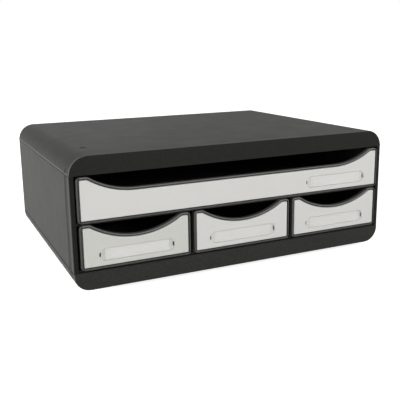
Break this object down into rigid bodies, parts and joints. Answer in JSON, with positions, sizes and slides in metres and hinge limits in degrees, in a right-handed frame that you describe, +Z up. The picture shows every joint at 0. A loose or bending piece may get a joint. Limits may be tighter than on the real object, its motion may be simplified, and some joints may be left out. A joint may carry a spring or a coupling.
{
  "type": "desktop drawer box",
  "caption": "Low, wide desktop drawer box in moulded plastic: a full-width drawer over a row of narrow ones, each with a finger scoop and a label window.",
  "frame": {"origin": "centre of the box's outline on the plane of the feet's undersides", "axes": "+X along the width, to the right when facing the drawers; +Y from the drawer faces to the back; +Z up"},
  "size_m": [0.355, 0.27, 0.135],
  "materials": {
    "case": "fine matte grain",
    "tray": "fine matte grain",
    "front_insert": "satin",
    "label_window": "clear",
    "label_card": "plain card",
    "foot_rubber": "matte"
  },
  "bodies": {
    "case": {"base_shell": "case", "top_cover": "case", "rear_panel": "case", "lower_deck": "case", "middle_shelf": "case", "left_side_panel": "case", "right_side_panel": "case", "left_front_post": "case", "right_front_post": "case", "left_divider": "case", "right_divider": "case", "left_guide_rail": "case", "right_guide_rail": "case", "front_left_foot": "foot_rubber", "front_right_foot": "foot_rubber", "rear_left_foot": "foot_rubber", "rear_right_foot": "foot_rubber"},
    "wide_drawer": {"wide_drawer_tray": "tray", "wide_drawer_front_insert": "front_insert", "wide_drawer_label_window": "label_window", "wide_drawer_label_card": "label_card"},
    "left_drawer": {"left_drawer_tray": "tray", "left_drawer_front_insert": "front_insert", "left_drawer_label_window": "label_window", "left_drawer_label_card": "label_card"},
    "middle_drawer": {"middle_drawer_tray": "tray", "middle_drawer_front_insert": "front_insert", "middle_drawer_label_window": "label_window", "middle_drawer_label_card": "label_card"},
    "right_drawer": {"right_drawer_tray": "tray", "right_drawer_front_insert": "front_insert", "right_drawer_label_window": "label_window", "right_drawer_label_card": "label_card"}
  },
  "joints": [
    {"name": "wide_drawer_slide", "type": "slide", "parent": "case", "child": "wide_drawer", "axis": [0, -1, 0], "range_m": [0, 0.19]},
    {"name": "left_drawer_slide", "type": "slide", "parent": "case", "child": "left_drawer", "axis": [0, -1, 0], "range_m": [0, 0.19]},
    {"name": "middle_drawer_slide", "type": "slide", "parent": "case", "child": "middle_drawer", "axis": [0, -1, 0], "range_m": [0, 0.19]},
    {"name": "right_drawer_slide", "type": "slide", "parent": "case", "child": "right_drawer", "axis": [0, -1, 0], "range_m": [0, 0.19]}
  ]
}
